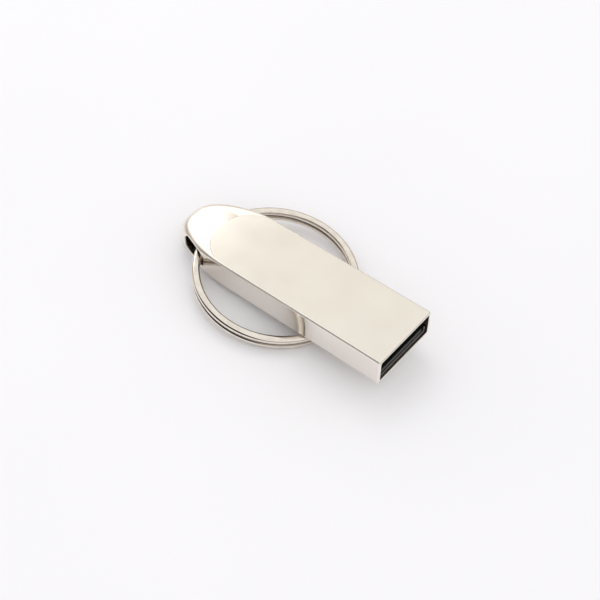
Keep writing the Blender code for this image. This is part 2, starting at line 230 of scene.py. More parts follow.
overhead_at = OVERHEAD_TOWARDS * LIGHT_DISTANCE
panel_at = PANEL_EDGE * LIGHT_DISTANCE + PANEL_INWARD * PANEL_SIZE / 2
panel_at += PANEL_TOWARDS.cross(PANEL_INWARD) * PANEL_SHIFT
overhead = add_panel(
    "overhead_softbox",
    overhead_at,
    Vector((1, 0, 0)),
    OVERHEAD_TOWARDS,
    OVERHEAD_SIZE,
    OVERHEAD_RADIANCE,
    OVERHEAD_COLOR,
)
panel = add_panel(
    "tail_panel",
    panel_at,
    PANEL_INWARD,
    PANEL_TOWARDS,
    PANEL_SIZE,
    PANEL_RADIANCE,
    PANEL_COLOR,
)
overhead.visible_glossy = False
panel.visible_diffuse = False

# %% [markdown]
# The table is a plain pale sheet. It's a flat mesh with a matt paper-like finish, whose
# colour drifts a little over some centimetres so that it isn't one dead value. Most other
# finishes follow one recipe: a fine pattern varies the gloss and raises the surface a
# little, and it, or a slower cloud, varies the colour.

# %% Finishes, and the table
TABLE_HALF = 1.6
SHADER = "Principled BSDF"


def new_material(name, **values):
    """A material with a Principled shader, whose inputs are set by name."""
    material = bpy.data.materials.new(name)
    material.use_nodes = True
    for key, value in values.items():
        material.node_tree.nodes[SHADER].inputs[key.replace("_", " ")].default_value = value
    return material


def noise_at(tree, scale, detail=2.0, stretch=(1, 1, 1), source=None):
    """A noise on object coordinates, or on another socket, with cells about 1/scale m wide."""
    if source is None:
        source = add_node(tree, "ShaderNodeTexCoord").outputs["Object"]
    mapped = add_node(tree, "ShaderNodeMapping", {"Vector": source, "Scale": stretch})
    inputs = {"Vector": mapped.outputs["Vector"], "Scale": scale, "Detail": detail}
    return add_node(tree, "ShaderNodeTexNoise", inputs).outputs["Fac"]


def spread(tree, source, low, high, start=0.3, end=0.7):
    """Maps a pattern from its usual range to low..high."""
    inputs = {"Value": source, "From Min": start, "From Max": end, "To Min": low, "To Max": high}
    return add_node(tree, "ShaderNodeMapRange", inputs).outputs["Result"]


def tint(tree, source, dark, light, start=0.3, end=0.7):
    """A pattern turned into a colour between dark and light."""
    return add_ramp(tree, source, ((start, dark), (end, light)))


def mix_colors(tree, share, first, second):
    """The first colour, a socket, where share is 0, and the second, a value, where it is 1."""
    inputs = {0: share, 6: first, 7: (*second, 1.0)}
    return add_node(tree, "ShaderNodeMix", inputs, data_type="RGBA").outputs[2]


def feed(tree, **sockets):
    """Links patterns to the shader's inputs by name."""
    for name, socket in sockets.items():
        tree.links.new(socket, tree.nodes[SHADER].inputs[name.replace("_", " ")])


def bump(tree, height, distance, strength):
    """Feeds a height pattern, over a distance in metres, to the shader's normal."""
    inputs = {"Height": height, "Distance": distance, "Strength": strength}
    feed(tree, Normal=add_node(tree, "ShaderNodeBump", inputs).outputs["Normal"])


def worked_surface(name, colors, gloss, relief, pattern, cloud=None, **values):
    """A material whose fine pattern sets the gloss and the relief.

    A pattern or a cloud is a scale, a detail and perhaps a stretch. Gloss is the lowest
    and the highest roughness, and relief is a height and its strength.
    """
    material = new_material(name, **values)
    tree = material.node_tree
    fine = noise_at(tree, *pattern)
    slow = noise_at(tree, *cloud) if cloud else fine
    feed(tree, Base_Color=tint(tree, slow, *colors), Roughness=spread(tree, fine, *gloss))
    bump(tree, fine, *relief)
    return material


paper = new_material("pale_paper", Roughness=0.75, Specular_IOR_Level=0.15)
drift = noise_at(paper.node_tree, 14.0)
paper_color = tint(paper.node_tree, drift, (0.900, 0.900, 0.912), (0.920, 0.920, 0.930))
feed(paper.node_tree, Base_Color=paper_color)

table_mesh = bpy.data.meshes.new("table")
corners = [(-1, -1), (1, -1), (1, 1), (-1, 1)]
table_mesh.from_pydata([(TABLE_HALF * x, TABLE_HALF * y, 0.0) for x, y in corners], [], [range(4)])
table_mesh.materials.append(paper)
table = bpy.data.objects.new("table", table_mesh)
bpy.context.scene.collection.objects.link(table)
print("table", 2 * TABLE_HALF, "m wide")

# %% [markdown]
# Each piece is modelled in its own frame and then finished in the same few steps: live
# modifiers are baked into a plain mesh, the mesh is carried to its place, and the object
# stays at the origin. The piece then rides on a body and stands for its CAD nodes, which
# are hidden.

# %% Finishing helpers


def add_piece(name, mesh, *materials):
    """A new object at the origin from a mesh and its materials."""
    for material in materials:
        mesh.materials.append(material)
    piece = bpy.data.objects.new(name, mesh)
    bpy.context.scene.collection.objects.link(piece)
    return piece


def mesh_from(name, graph):
    """A mesh from a bmesh, with its outside facing out."""
    bmesh.ops.recalc_face_normals(graph, faces=graph.faces)
    mesh = bpy.data.meshes.new(name)
    graph.to_mesh(mesh)
    graph.free()
    return mesh


def bake_modifiers(piece):
    """Replaces the piece's mesh by what its modifiers make of it."""
    shown = piece.evaluated_get(bpy.context.evaluated_depsgraph_get())
    mesh = bpy.data.meshes.new_from_object(shown)
    piece.modifiers.clear()
    piece.data = mesh
    mesh.name = piece.name


def weigh_normals(piece, angle):
    """Smooth shading that keeps big flat faces flat, with sharp edges above an angle."""
    piece.data.shade_smooth()
    piece.data.set_sharp_from_angle(angle=math.radians(angle))
    weighted = piece.modifiers.new("Weighted normals", "WEIGHTED_NORMAL")
    weighted.weight = 100
    weighted.keep_sharp = True
    bake_modifiers(piece)


def settle(piece, place, body, slot, *nodes):
    """Carries the mesh to its place, puts it on its body and hides its CAD nodes."""
    piece.data.transform(place)
    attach(piece, body)
    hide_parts(*nodes)
    print(piece.name, len(piece.data.polygons), "faces, rides on", body)


# %% [markdown]
# The case is drawn from one sheet of metal about 0.4 mm thick. Its plan is a rectangle at
# the mouth and narrows to a blunt tip at the tail, and the tail's top slopes down behind
# half an ellipse. The rounded rims could come from a Bevel modifier, but the sloping rim
# and the pointed plan would pinch it. Here the rims are lofted: equal rings of points run
# round the plan, each a little further in and up a quarter circle.

# %% The case's sizes and its plan
LENGTH = 40.1 * MM
WIDTH = 12.0 * MM
HEIGHT = 4.5 * MM
WALL = 0.4 * MM
EDGE_ROUND = 0.3 * MM
TIP_TOP_ROUND = 2.0 * MM
TIP_BELLY_ROUND = 1.9 * MM
ROUND_GROWTH = 1.2
MOUTH_CORNER = 0.3 * MM
MOUTH_X = 19.9 * MM
TIP_X = MOUTH_X - LENGTH
NOSE_LENGTH = 11.3 * MM
NOSE_SHOULDER = 2.1
NOSE_BLUNTNESS = 0.38
SLOPE_LENGTH = 5.0 * MM
SLOPE_DROP = 0.4 * MM
NOSE_STEPS = 56
SIDE_STEPS = 24
ROUND_STEPS = 14
CORNER_STEPS = 6


def arc(center, radius, start, end, steps):
    """Points on an arc in a plane."""
    points = []
    for i in range(steps + 1):
        angle = start + (end - start) * i / steps
        points.append((center[0] + radius * math.cos(angle), center[1] + radius * math.sin(angle)))
    return points


def rounded_rectangle(low, high, radius, steps):
    """Points round a rectangle with round corners, counterclockwise."""
    corners = [
        (high[0] - radius, low[1] + radius, -math.pi / 2),
        (high[0] - radius, high[1] - radius, 0.0),
        (low[0] + radius, high[1] - radius, math.pi / 2),
        (low[0] + radius, low[1] + radius, math.pi),
    ]
    points = []
    for x, y, start in corners:
        points += arc((x, y), radius, start, start + math.pi / 2, steps)
    return points


def nose_share(x):
    """How far x is along the tail, from 0 at the shoulder to 1 at the tip."""
    return min(max((TIP_X + NOSE_LENGTH - x) / NOSE_LENGTH, 0.0), 1.0)


def nose_half_width(x):
    return WIDTH / 2 * (1.0 - nose_share(x) ** NOSE_SHOULDER) ** NOSE_BLUNTNESS


def case_plan():
    """The case's plan, counterclockwise from the mouth's corner on the -Y side."""
    inner_x = MOUTH_X - MOUTH_CORNER
    inner_y = WIDTH / 2 - MOUTH_CORNER
    shoulder = TIP_X + NOSE_LENGTH
    near_corner = arc((inner_x, -inner_y), MOUTH_CORNER, -math.pi / 2, 0.0, CORNER_STEPS)
    far_corner = arc((inner_x, inner_y), MOUTH_CORNER, 0.0, math.pi / 2, CORNER_STEPS)
    far_side = []
    for i in range(1, SIDE_STEPS):
        far_side.append((inner_x + (shoulder - inner_x) * i / SIDE_STEPS, WIDTH / 2))
    for i in range(NOSE_STEPS):
        x = shoulder - NOSE_LENGTH * math.sin(math.pi / 2 * i / NOSE_STEPS)
        far_side.append((x, nose_half_width(x)))
    near_side = [(x, -y) for x, y in reversed(far_side)]
    return near_corner + far_corner + far_side + [(TIP_X, 0.0)] + near_side


def rim_round(x, at_tip):
    """The rim's rounding at x, which grows from the plug's to the tip's own."""
    return EDGE_ROUND + (at_tip - EDGE_ROUND) * nose_share(x) ** ROUND_GROWTH


def inset(plan, distances):
    """The plan moved inwards by a distance at each point, measured square to it."""
    moved = []
    count = len(plan)
    quarter = Matrix.Rotation(math.pi / 2, 2)
    for i, point in enumerate(plan):
        here = Vector(point)
        inward_before = quarter @ (here - Vector(plan[i - 1])).normalized()
        inward_after = quarter @ (Vector(plan[(i + 1) % count]) - here).normalized()
        inward = (inward_before + inward_after).normalized()
        moved.append(here + inward * distances[i] / inward.dot(inward_after))
    return moved


print("plan points", len(case_plan()))

# %% [markdown]
# The top is flat up to half an ellipse and slopes behind it, so the rim sinks towards the
# tip and a faint crease shows where the two meet. The belly is flat. Two solids are then
# cut out: the hollow that the board slides into, and the eyelet, whose lips are rounded
# where it comes out through the tail's curved walls. Booleans are right for both, because
# the cut edges follow the meeting of two shapes.

# %% The case's solid
HOLLOW_END_X = -10.5 * MM
HOLLOW_CORNER = 0.25 * MM
EYELET_LOW = (-17.45 * MM, 0.55 * MM)
EYELET_HIGH = (-12.65 * MM, 3.65 * MM)
EYELET_CORNER = 1.1 * MM
EYELET_LIP = 0.45 * MM
EYELET_STEPS = 10
LIP_STEPS = 6
MOUTH_LIP = 0.08 * MM
FLARE_STEPS = 4
CUTTER_PAST = 1 * MM
LEVEL_TOLERANCE = 1e-9
CREASE_WIDTH = 0.16 * MM
CREASE_DEPTH = 0.07 * MM


def slope_edge_x(y):
    """Where the flat top ends and the slope begins."""
    reach = max(1.0 - (y / (WIDTH / 2 - EDGE_ROUND)) ** 2, 0.0)
    return TIP_X + NOSE_LENGTH - SLOPE_LENGTH * math.sqrt(reach)


def rim_drop(x, y):
    """How far the tail's rim lies below the flat top."""
    behind = max(slope_edge_x(y) - x, 0.0)
    return SLOPE_DROP * behind / (NOSE_LENGTH - SLOPE_LENGTH)


def open_loft(rings):
    """A bmesh of equal rings of points, each joined to the next and closed at the first."""
    graph = bmesh.new()
    loops = [[graph.verts.new(point) for point in ring] for ring in rings]
    for low, high in zip(loops, loops[1:]):
        for i in range(len(low)):
            j = (i + 1) % len(low)
            graph.faces.new((low[i], low[j], high[j], high[i]))
    graph.faces.new(loops[0][::-1])
    return graph, loops


def loft(name, rings):
    """A mesh from equal rings of points, each joined to the next, with capped ends."""
    graph, loops = open_loft(rings)
    graph.faces.new(loops[-1])
    return mesh_from(name, graph)


def rim_rings(plan, rounds, angles, height_at):
    """Rings round the plan, drawn in along a quarter circle of each point's rounding."""
    rings = []
    for angle in angles:
        points = inset(plan, [r * (1 - math.cos(angle)) for r in rounds])
        falls = [r * (1 - math.sin(angle)) for r in rounds]
        heights = [height_at(i, fall) for i, fall in enumerate(falls)]
        rings.append([(p[0], p[1], z) for p, z in zip(points, heights)])
    return rings


def case_solid():
    plan = case_plan()
    quarter = [math.pi / 2 * i / ROUND_STEPS for i in range(ROUND_STEPS + 1)]
    low_rounds = [rim_round(x, TIP_BELLY_ROUND) for x, _ in plan]
    high_rounds = [rim_round(x, TIP_TOP_ROUND) for x, _ in plan]
    rims = [rim_drop(p[0], p[1]) for p in inset(plan, high_rounds)]
    rings = rim_rings(plan, low_rounds, quarter[::-1], lambda i, fall: fall)
    rings += rim_rings(plan, high_rounds, quarter, lambda i, fall: HEIGHT - (fall + rims[i]))
    graph, loops = open_loft(rings)
    add_slope(graph, rings[-1], loops[-1])
    return mesh_from("case", graph)


def add_slope(graph, ring, top):
    """Closes the top with the flat and with the slope's strip of faces."""
    sunken = [i for i, point in enumerate(ring) if point[2] < HEIGHT - LEVEL_TOLERANCE]
    first = sunken[0] - 1
    last = sunken[-1] + 1
    reach = abs(ring[first][1])
    edge = {first: top[first], last: top[last]}
    foot = dict(edge)
    for i in sunken:
        y = ring[i][1] * (WIDTH / 2 - EDGE_ROUND) / reach
        fade = math.sqrt(max(1.0 - (y / (WIDTH / 2)) ** 2, 0.0))
        edge[i] = graph.verts.new((slope_edge_x(y), y, HEIGHT))
        step = (slope_edge_x(y) - CREASE_WIDTH * fade, y, HEIGHT - CREASE_DEPTH * fade)
        foot[i] = graph.verts.new(step)
    for i in range(first, last):
        for low, high in ((top, foot), (foot, edge)):
            corners = list(dict.fromkeys((low[i], low[i + 1], high[i + 1], high[i])))
            if len(corners) > 2:
                graph.faces.new(corners)
    crease = [edge[i] for i in range(first, last + 1)]
    graph.faces.new(top[:first] + crease + top[last + 1 :])


def hollow_cutter():
    """The hollow, flared a little at the mouth so that its lip is rounded off."""
    rings = []
    stations = [(HOLLOW_END_X, 0.0), (MOUTH_X - MOUTH_LIP, 0.0)]
    for i in range(1, FLARE_STEPS + 1):
        angle = math.pi / 2 * i / FLARE_STEPS
        x = MOUTH_X - MOUTH_LIP * (1 - math.sin(angle))
        stations.append((x, MOUTH_LIP * (1 - math.cos(angle))))
    stations.append((MOUTH_X + CUTTER_PAST, MOUTH_LIP))
    for x, grown in stations:
        half = WIDTH / 2 - WALL + grown
        low = (-half, WALL - grown)
        high = (half, HEIGHT - WALL + grown)
        section = rounded_rectangle(low, high, HOLLOW_CORNER + grown, CORNER_STEPS)
        rings.append([(x, y, z) for y, z in section])
    return loft("hollow_cutter", rings)


def eyelet_section(grown):
    low = (EYELET_LOW[0] - grown, EYELET_LOW[1] - grown)
    high = (EYELET_HIGH[0] + grown, EYELET_HIGH[1] + grown)
    return rounded_rectangle(low, high, EYELET_CORNER + grown, EYELET_STEPS)


def eyelet_cutter(shell):
    """The eyelet, whose lips follow the tail's walls on both sides."""
    shape = bmesh.new()
    shape.from_mesh(shell)
    walls = BVHTree.FromBMesh(shape)
    shape.free()
    far_rings = [[(x, WIDTH, z) for x, z in eyelet_section(EYELET_LIP)]]
    for i in range(LIP_STEPS + 1):
        angle = math.pi / 2 * (1 - i / LIP_STEPS)
        depth = EYELET_LIP * (1 - math.sin(angle))
        ring = []
        for x, z in eyelet_section(EYELET_LIP * (1 - math.cos(angle))):
            wall = walls.ray_cast(Vector((x, WIDTH, z)), Vector((0, -1, 0)))[0]
            ring.append((x, wall.y - depth, z))
        far_rings.append(ring)
    near_rings = [[(x, -y, z) for x, y, z in ring] for ring in reversed(far_rings)]
    return loft("eyelet_cutter", far_rings + near_rings)


def cut_out(piece, cutter_mesh):
    cutter = add_piece(cutter_mesh.name, cutter_mesh)
    modifier = piece.modifiers.new("Cut", "BOOLEAN")
    modifier.operation = "DIFFERENCE"
    modifier.solver = "EXACT"
    modifier.object = cutter
    bake_modifiers(piece)
    bpy.data.objects.remove(cutter)


case = add_piece("case_shell", case_solid())
eyelet = eyelet_cutter(case.data)
cut_out(case, hollow_cutter())
cut_out(case, eyelet)
print("case shell", len(case.data.polygons), "faces")

# %% [markdown]
# Handling wears a plated case most on its rims. A point attribute can carry that: it is one
# at the points that touch only the narrow faces of a rounded rim, and zero at every point
# of a broad flat face. The faces inside the hollow get their own bare finish, painted dark
# as painted shade.

# %% Mark the rims and the shaded inside
FLAT_AREA = 0.9 * MM * MM
SKIN = 0.01 * MM
WEAR_NAME = "rim_wear"


def mark_rims(piece):
    mesh = piece.data
    touching = [1.0] * len(mesh.vertices)
    for face in mesh.polygons:
        if face.area > FLAT_AREA:
            for index in face.vertices:
                touching[index] = 0.0
    wear = mesh.attributes.new(WEAR_NAME, "FLOAT", "POINT")
    wear.data.foreach_set("value", touching)
    return sum(touching)


def mark_shaded_hollow(piece, index):
    """Gives the hollow's faces the material at that index, whose dark colour paints the shade
    inside.
    """
    inside = 0
    for face in piece.data.polygons:
        middle = face.center
        within = abs(middle.y) < WIDTH / 2 - WALL + SKIN
        held = WALL - SKIN < middle.z < HEIGHT - WALL + SKIN
        if within and held and HOLLOW_END_X - SKIN < middle.x < MOUTH_X - 1.2 * MOUTH_LIP:
            face.material_index = index
            inside += 1
    return inside


print("rim points", mark_rims(case))

# %% [markdown]
# The outside is a satin nickel plate with a warm tone: a full metal with a soft gloss. A
# very fine grain breaks the reflection, slow clouds shift the gloss as handling does, and
# the worn rims are duller and a shade lighter. The bare inside is painted far darker, as
# painted shade, and is duller still.

# %% Satin nickel
NICKEL_DARK = (0.845, 0.790, 0.730)
NICKEL_LIGHT = (0.885, 0.835, 0.775)
RIM_COLOR = (0.91, 0.86, 0.80)
RIM_DULLING = 0.22
GRAIN_DULLING = 0.04
# The inside's colours are painted shade: bare metal made far darker than the nickel outside.
INSIDE_SHADE_COLORS = ((0.10, 0.085, 0.07), (0.17, 0.15, 0.13))


def satin_nickel():
    metal = new_material("satin_nickel_plate", Metallic=1.0)
    tree = metal.node_tree
    wear = add_node(tree, "ShaderNodeAttribute", attribute_name=WEAR_NAME).outputs["Fac"]
    clouds = noise_at(tree, 160.0, 3.0)
    grain = noise_at(tree, 22000.0, 2.0)
    flat_color = tint(tree, clouds, NICKEL_DARK, NICKEL_LIGHT)
    cloudy = spread(tree, clouds, 0.10, 0.13)
    grainy = compute(tree, "MULTIPLY_ADD", grain, GRAIN_DULLING, cloudy)
    feed(
        tree,
        Base_Color=mix_colors(tree, wear, flat_color, RIM_COLOR),
        Roughness=compute(tree, "MULTIPLY_ADD", wear, RIM_DULLING, grainy),
    )
    bump(tree, grain, 0.002 * MM, 0.5)
    return metal


painted_shade_inside = worked_surface(
    "bare_inside_metal",
    INSIDE_SHADE_COLORS,
    gloss=(0.42, 0.60),
    relief=(0.004 * MM, 0.6),
    pattern=(9000.0, 2.0, (0.06, 1, 1)),
    cloud=(900.0, 4.0),
    Metallic=1.0,
)
case.data.materials.append(satin_nickel())
case.data.materials.append(painted_shade_inside)
print("inside faces", mark_shaded_hollow(case, 1))
weigh_normals(case, 24)
settle(case, case_place, "drive", "satin_nickel", "metal_case")

# %% [markdown]
# A geometry tree is a small program with named inputs. These helpers make one, run it on a
# piece, and write down the steps that both trees below share.

# %% Geometry Nodes helpers


def new_tree(name, **inputs):
    """A geometry tree with named inputs and their defaults. A value's type sets the socket's."""
    tree = bpy.data.node_groups.new(name, "GeometryNodeTree")
    tree.interface.new_socket("Geometry", in_out="INPUT", socket_type="NodeSocketGeometry")
    tree.interface.new_socket("Geometry", in_out="OUTPUT", socket_type="NodeSocketGeometry")
    for key in inputs:
        kind = "NodeSocketFloat"
        if isinstance(inputs[key], bpy.types.Material):
            kind = "NodeSocketMaterial"
        elif isinstance(inputs[key], int):
            kind = "NodeSocketInt"
        title = key.replace("_", " ")
        tree.interface.new_socket(title, in_out="INPUT", socket_type=kind)
    return tree, add_node(tree, "NodeGroupInput"), add_node(tree, "NodeGroupOutput")


def grow(piece, tree, **inputs):
    """Runs a tree on a piece with its inputs set by identifier, and keeps the plain mesh."""
    modifier = piece.modifiers.new(tree.name, "NODES")
    modifier.node_group = tree
    for item in tree.interface.items_tree:
        key = item.name.replace(" ", "_")
        if item.in_out == "INPUT" and key in inputs:
            modifier[item.identifier] = inputs[key]
    bake_modifiers(piece)


def combine(tree, x, y, z):
    """A vector from three numbers or sockets."""
    return add_node(tree, "ShaderNodeCombineXYZ", {0: x, 1: y, 2: z}).outputs[0]


def keep_field(tree, kind, name, geometry, value):
    """Keeps a field's values with the geometry. It gives back both as sockets."""
    node = add_node(tree, "GeometryNodeCaptureAttribute", domain="POINT")
    node.capture_items.new(kind, name)
    tree.links.new(geometry, node.inputs["Geometry"])
    tree.links.new(value, node.inputs[name])
    return node.outputs[0], node.outputs[name]


def rectangle(tree, width, height):
    inputs = {"Width": width, "Height": height}
    return add_node(
        tree, "GeometryNodeCurvePrimitiveQuadrilateral", inputs, mode="RECTANGLE"
    ).outputs[0]


def keep_upright(tree, curve):
    """The curve with its normals set so that a section swept along it doesn't twist."""
    return add_node(tree, "GeometryNodeSetCurveNormal", {"Curve": curve}, mode="Z_UP").outputs[0]


def sweep(tree, curve, section):
    inputs = {"Curve": curve, "Profile Curve": section, "Fill Caps": True}
    return add_node(tree, "GeometryNodeCurveToMesh", inputs).outputs[0]


def deliver(tree, geometry, metal, made):
    """Makes the geometry real, gives it a material and hands it to the tree's output."""
    real = add_node(tree, "GeometryNodeRealizeInstances", {0: geometry}).outputs[0]
    inputs = {"Geometry": real, "Material": metal}
    finished = add_node(tree, "GeometryNodeSetMaterial", inputs).outputs[0]
    tree.links.new(finished, made.inputs["Geometry"])


# %% [markdown]
# A split ring is a flat wire wound into two turns that lie on each other, with one short
# ramp where it changes level. It follows a rule, so a Geometry Nodes tree makes it: a line
# of points is bent into the two turns, the height climbs smoothly through the ramp, and a
# rounded rectangle is swept along it. The tree also stores where each point lies along and
# across the wire, for the drawing marks that run along a drawn wire.

# %% The ring's tree
RING_OUTER_R = 12.5 * MM
WIRE_WIDTH = 1.25 * MM
WIRE_SIZES = {
    "Middle_Radius": RING_OUTER_R - WIRE_WIDTH / 2,
    "Wire_Width": WIRE_WIDTH,
    "Wire_Height": 0.95 * MM,
    "Outer_Round": 0.46 * MM,
    "Inner_Round": 0.40 * MM,
    "Turn_Gap": 0.04 * MM,
    "Ramp_Angle": math.radians(26),
    "End_Gap_Angle": math.radians(2),
    "Segments": 560,
}
ROUND_POINTS = 7
WIRE_PLACE = "wire_place"


def split_ring_tree(metal):
    tree, given, made = new_tree("split_ring", **WIRE_SIZES, Metal=metal)
    size = given.outputs
    index = add_node(tree, "GeometryNodeInputIndex").outputs[0]
    share = compute(tree, "DIVIDE", index, size["Segments"])
    gaps = compute(tree, "MULTIPLY", size["End Gap Angle"], 2.0)
    full = compute(tree, "SUBTRACT", 4 * math.pi, size["Ramp Angle"])
    swept = compute(tree, "MULTIPLY", share, compute(tree, "SUBTRACT", full, gaps))
    along = compute(tree, "ADD", swept, size["End Gap Angle"])
    turn = compute(tree, "ADD", along, compute(tree, "MULTIPLY", size["Ramp Angle"], 0.5))

    climb = {
        "Value": along,
        "From Min": compute(tree, "SUBTRACT", 2 * math.pi, size["Ramp Angle"]),
        "From Max": 2 * math.pi,
        "To Min": -0.5,
        "To Max": 0.5,
    }
    level = add_node(tree, "ShaderNodeMapRange", climb, interpolation_type="SMOOTHSTEP")
    pitch = compute(tree, "ADD", size["Wire Height"], size["Turn Gap"])
    spot = combine(
        tree,
        compute(tree, "MULTIPLY", compute(tree, "COSINE", turn), size["Middle Radius"]),
        compute(tree, "MULTIPLY", compute(tree, "SINE", turn), size["Middle Radius"]),
        compute(tree, "MULTIPLY", level.outputs["Result"], pitch),
    )
    points = compute(tree, "ADD", size["Segments"], 1)
    line = add_node(tree, "GeometryNodeMeshLine", {"Count": points}).outputs["Mesh"]
    bent = add_node(tree, "GeometryNodeSetPosition", {"Geometry": line, "Position": spot})
    path = add_node(tree, "GeometryNodeMeshToCurve", {"Mesh": bent.outputs[0]})
    length = add_node(tree, "GeometryNodeSplineParameter").outputs["Length"]
    upright = keep_upright(tree, path.outputs[0])
    wound, length_along = keep_field(tree, "FLOAT", "Length", upright, length)

    here = add_node(tree, "GeometryNodeInputPosition").outputs[0]
    corner = add_node(tree, "ShaderNodeSeparateXYZ", {0: here})
    is_outer = compute(tree, "GREATER_THAN", corner.outputs[0], 0.0)
    extra = compute(tree, "SUBTRACT", size["Outer Round"], size["Inner Round"])
    added = compute(tree, "MULTIPLY", is_outer, extra)
    fillet = {
        "Curve": rectangle(tree, size["Wire Width"], size["Wire Height"]),
        "Radius": compute(tree, "ADD", size["Inner Round"], added),
        "Count": ROUND_POINTS,
    }
    rounded = add_node(tree, "GeometryNodeFilletCurve", fillet, mode="POLY").outputs[0]
    section, place = keep_field(tree, "VECTOR", "Place", rounded, here)

    across = add_node(tree, "ShaderNodeSeparateXYZ", {0: place}).outputs
    stored = {
        "Geometry": sweep(tree, wound, section),
        "Name": WIRE_PLACE,
        "Value": combine(tree, length_along, across[0], across[1]),
    }
    store = add_node(
        tree,
        "GeometryNodeStoreNamedAttribute",
        stored,
        data_type="FLOAT_VECTOR",
        domain="POINT",
    )
    deliver(tree, store.outputs[0], size["Metal"], made)
    return tree


# %% [markdown]
# The ring is polished and plated nickel over spring steel. It's brighter and glossier than
# the case. Drawing leaves faint streaks along the wire and keys leave short fine scuffs. The
# groove between the turns is painted near black and made duller, as painted shade. The
# groove is found from the stored places: it is on one side of the wire in the first turn,
# and on the other in the second.

# %% Polished nickel, and the ring
RING_DARK = (0.745, 0.675, 0.605)
RING_LIGHT = (0.87, 0.815, 0.745)
# Painted shade: the groove between the two turns is coloured near black.
GROOVE_SHADE_COLOR = (0.055, 0.038, 0.030)
GROOVE_START = 0.30 * MM
GROOVE_FULL = 0.45 * MM
GROOVE_RAGGED = 0.06 * MM
GROOVE_DULLING = 0.25
STREAK_DULLING = 0.04
HALF_WIRE = 71.5 * MM


def polished_nickel():
    metal = new_material("polished_nickel_wire", Metallic=1.0)
    tree = metal.node_tree
    place = add_node(tree, "ShaderNodeAttribute", attribute_name=WIRE_PLACE).outputs["Vector"]
    streaks = noise_at(tree, 16000.0, 3.0, (0.012, 1, 1), place)
    scuffs = noise_at(tree, 1500.0, 4.0, (0.5, 1, 1), place)
    parts = add_node(tree, "ShaderNodeSeparateXYZ", {0: place}).outputs
    is_upper = compute(tree, "GREATER_THAN", parts["X"], HALF_WIRE)
    towards_other = compute(tree, "MULTIPLY_ADD", is_upper, 2.0, -1.0)
    depth = compute(tree, "MULTIPLY", towards_other, parts["Z"])
    ragged = compute(tree, "MULTIPLY_ADD", scuffs, GROOVE_RAGGED, depth)
    # The groove mask paints shade between the turns, near black and duller.
    groove_shade = spread(tree, ragged, 0.0, 1.0, GROOVE_START, GROOVE_FULL)
    plated = tint(tree, scuffs, RING_DARK, RING_LIGHT, 0.25, 0.6)
    gloss = spread(tree, scuffs, 0.05, 0.10)
    worn = compute(tree, "MULTIPLY_ADD", streaks, STREAK_DULLING, gloss)
    feed(
        tree,
        Base_Color=mix_colors(tree, groove_shade, plated, GROOVE_SHADE_COLOR),
        Roughness=compute(tree, "MULTIPLY_ADD", groove_shade, GROOVE_DULLING, worn),
    )
    bump(tree, streaks, 0.0015 * MM, 0.5)
    return metal


wire_metal = polished_nickel()
ring = add_piece("split_ring", bpy.data.meshes.new("split_ring"))
grow(ring, split_ring_tree(wire_metal), **WIRE_SIZES, Metal=wire_metal)
radii = [vertex.co.xy.length / MM for vertex in ring.data.vertices]
print("ring radii", round(min(radii), 3), "to", round(max(radii), 3), "mm")
weigh_normals(ring, 40)
settle(ring, ring_place, "ring", "polished_nickel", "key_ring")

# %% [markdown]
# The tray is one black moulding: a thin floor with a rail down each side, low under the
# plug's tongue and taller behind it. A side profile is swept across the width and the
# trough is cut out of it. A narrow Bevel takes the sharpness off every edge, as in a mould.
# Sockets scuff the front edge, which is lighter.

# %% Black tray
FIT_GAP = 0.05 * MM
TRAY_REAR_X = -10.2 * MM
TRAY_FRONT_X = 19.5 * MM
TRAY_WIDTH = 10.9 * MM
TRAY_FLOOR = 0.42 * MM
TRAY_RAIL = 0.3 * MM
TRAY_STEP_X = 7.6 * MM
TRAY_RAMP = 0.6 * MM
TRAY_LOW_TOP_Z = 1.68 * MM
TRAY_HIGH_TOP_Z = 3.2 * MM
REAR_WALL = 0.8 * MM
MOULD_EDGE = 0.05 * MM


black_plastic = worked_surface(
    "moulded_black_plastic",
    ((0.010, 0.009, 0.009), (0.018, 0.017, 0.017)),
    gloss=(0.40, 0.62),
    relief=(0.004 * MM, 0.7),
    pattern=(26000.0, 3.0),
    cloud=(700.0, 2.0, (0.3, 1, 1)),
    Roughness=0.5,
    Specular_IOR_Level=0.2,
)
scuffed_plastic = worked_surface(
    "scuffed_plastic_edge",
    ((0.075, 0.072, 0.070), (0.19, 0.185, 0.18)),
    gloss=(0.45, 0.65),
    relief=(0.006 * MM, 0.7),
    pattern=(9000.0, 4.0, (1, 0.2, 1)),
    Roughness=0.55,
)


def box_between(name, low, high):
    corners = [(low[0], low[1]), (high[0], low[1]), (high[0], high[1]), (low[0], high[1])]
    return loft(name, [[(x, y, z) for x, y in corners] for z in (low[2], high[2])])


def soften(piece, width, segments=2, angle=35):
    """A narrow bevel on the sharp edges, baked in."""
    bevel = piece.modifiers.new("Soft edges", "BEVEL")
    bevel.width = width
    bevel.segments = segments
    bevel.limit_method = "ANGLE"
    bevel.angle_limit = math.radians(angle)
    bake_modifiers(piece)


def tray_mesh():
    floor_z = WALL + FIT_GAP
    half = TRAY_WIDTH / 2
    side = [
        (TRAY_REAR_X, floor_z),
        (TRAY_FRONT_X, floor_z),
        (TRAY_FRONT_X, TRAY_LOW_TOP_Z),
        (TRAY_STEP_X + TRAY_RAMP, TRAY_LOW_TOP_Z),
        (TRAY_STEP_X, TRAY_HIGH_TOP_Z),
        (TRAY_REAR_X, TRAY_HIGH_TOP_Z),
    ]
    return loft("tray", [[(x, y, z) for x, z in side] for y in (-half, half)])


def tray_trough():
    half = TRAY_WIDTH / 2 - TRAY_RAIL
    low = (TRAY_REAR_X + REAR_WALL, -half, WALL + FIT_GAP + TRAY_FLOOR)
    high = (TRAY_FRONT_X + CUTTER_PAST, half, TRAY_HIGH_TOP_Z + CUTTER_PAST)
    return box_between("trough", low, high)


